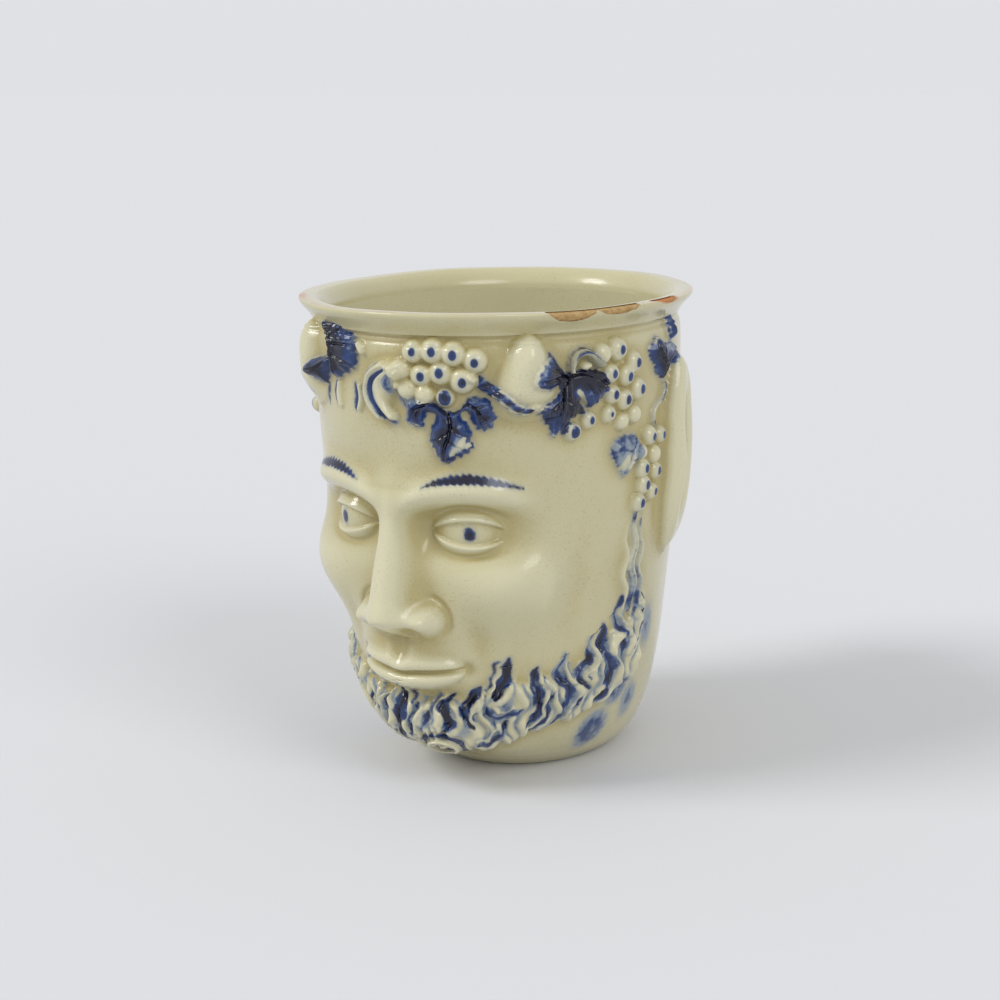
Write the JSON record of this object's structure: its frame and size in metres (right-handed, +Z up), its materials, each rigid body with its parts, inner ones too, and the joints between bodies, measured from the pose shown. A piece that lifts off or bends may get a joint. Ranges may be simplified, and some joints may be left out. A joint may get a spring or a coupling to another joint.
{
  "type": "head mug",
  "caption": "Glazed pottery drinking mug moulded as a satyr's head with vine garland, horns, beard, flared lip and strap handle.",
  "frame": {"origin": "centre of the foot on the surface that the mug stands on", "axes": "+Z up, the face looks along -Y, the handle is at +Y, +X is the head's own left"},
  "size_m": [0.0988, 0.1422, 0.125],
  "materials": {
    "body_glaze": "glossy crazed cream-green glaze",
    "rim_glaze": "glossy cream glaze, worn orange at the edge, with chips to the buff clay",
    "cobalt_leaf": "glossy cobalt blue under clear glaze",
    "grape_glaze": "glossy cream glaze with a blue dot on each grape",
    "beard_glaze": "glossy cream glaze, streaked with cobalt blue in the hollows"
  },
  "bodies": {
    "root": {"face_half": "body_glaze", "back_half": "body_glaze", "base_disc": "body_glaze", "rim_band": "rim_glaze", "handle": "body_glaze", "ear_left": "body_glaze", "ear_right": "body_glaze", "horn_left": "body_glaze", "horn_right": "body_glaze", "grapes_forehead": "grape_glaze", "leaf_forehead": "cobalt_leaf", "leaf_horn_left": "cobalt_leaf", "leaf_temple_right": "cobalt_leaf", "leaf_curl": "cobalt_leaf", "vine_stem": "cobalt_leaf", "grapes_temple_left": "grape_glaze", "grapes_temple_right": "grape_glaze", "leaf_ear_left": "cobalt_leaf", "leaf_ear_right": "cobalt_leaf", "leaf_drop_left": "cobalt_leaf", "leaf_drop_right": "cobalt_leaf", "grapes_hanging_left": "grape_glaze", "grapes_hanging_right": "grape_glaze", "beard_front": "beard_glaze", "beard_left": "beard_glaze", "beard_right": "beard_glaze"}
  },
  "joints": []
}
